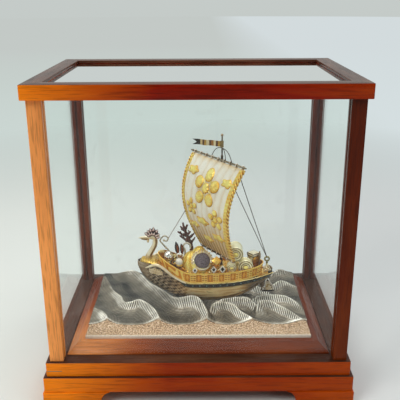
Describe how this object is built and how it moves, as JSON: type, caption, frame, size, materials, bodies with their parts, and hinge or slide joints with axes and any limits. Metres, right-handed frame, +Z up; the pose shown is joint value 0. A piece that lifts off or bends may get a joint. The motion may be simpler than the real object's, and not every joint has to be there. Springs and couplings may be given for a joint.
{
  "type": "cased model sailing ship",
  "caption": "Wooden display case with a lift-off glazed cover over a metal model sailing ship on a cast sea; the rudder and the masthead pennant turn.",
  "frame": {"origin": "centre of the base's footprint, on the table under the feet", "axes": "+X to the right along the ship from bow to stern, +Y away from the viewer, +Z up"},
  "size_m": [0.3074, 0.2084, 0.316],
  "materials": {
    "polished_wood": "gloss",
    "plain_wood": "matte",
    "sand": "matte",
    "sea_metal": "satin",
    "dark_metal": "satin",
    "clear_glass": "polished",
    "gold": "gloss",
    "pale_gold": "satin",
    "silver": "polished",
    "sail_silver": "satin",
    "enamel": "gloss",
    "copper": "satin",
    "dark_stone": "satin",
    "pearl": "gloss",
    "red_coral": "matte"
  },
  "bodies": {
    "base": {"foot_front_left": "polished_wood", "foot_front_right": "polished_wood", "foot_back_left": "polished_wood", "foot_back_right": "polished_wood", "lower_plinth": "polished_wood", "base_panel": "plain_wood", "platform_moulding": "polished_wood", "platform_panel": "polished_wood", "sand_board": "sand", "wave_casting": "sea_metal", "ship_bolts": "dark_metal", "hull_shell": "gold", "deck_plate": "gold", "gunwale_band": "dark_metal", "band_studs": "enamel", "bulwark": "gold", "bow_trim": "silver", "neck_collar": "gold", "figurehead_neck": "silver", "figurehead_head": "silver", "figurehead_crest": "copper", "bow_scroll": "silver", "stern_fittings": "gold", "rudder_bearing": "dark_metal", "mast": "dark_metal", "yard": "dark_metal", "lower_yard": "dark_metal", "sail": "sail_silver", "sail_borders": "gold", "sail_motif": "gold", "lashings": "dark_metal", "rigging_wires": "dark_metal", "treasure_heap": "gold", "treasure_sack": "gold", "sack_boss": "dark_stone", "cargo_bales": "pale_gold", "treasure_chest": "gold", "jewels": "pearl", "deck_ornaments": "silver", "coral": "red_coral"},
    "cover": {"sill_front": "polished_wood", "sill_back": "polished_wood", "sill_left": "polished_wood", "sill_right": "polished_wood", "post_front_left": "polished_wood", "post_front_right": "polished_wood", "post_back_left": "polished_wood", "post_back_right": "polished_wood", "top_rail_front": "polished_wood", "top_rail_back": "polished_wood", "top_rail_left": "polished_wood", "top_rail_right": "polished_wood", "glass_front": "clear_glass", "glass_back": "clear_glass", "glass_left": "clear_glass", "glass_right": "clear_glass", "glass_top": "clear_glass"},
    "rudder": {"rudder_stock": "dark_metal", "rudder_blade": "silver"},
    "pennant": {"pennant": "gold"}
  },
  "joints": [
    {"name": "cover_lift", "type": "slide", "parent": "base", "child": "cover", "axis": [0, 0, 1], "range_m": [0, 0.225]},
    {"name": "rudder_turn", "type": "hinge", "parent": "base", "child": "rudder", "pos_m": [0.071, 0, 0.08], "axis": [0, 0, 1], "range_deg": [-30, 30]},
    {"name": "pennant_turn", "type": "hinge", "parent": "base", "child": "pennant", "pos_m": [0.0255, 0, 0.24], "axis": [0, 0, 1], "continuous": true}
  ]
}
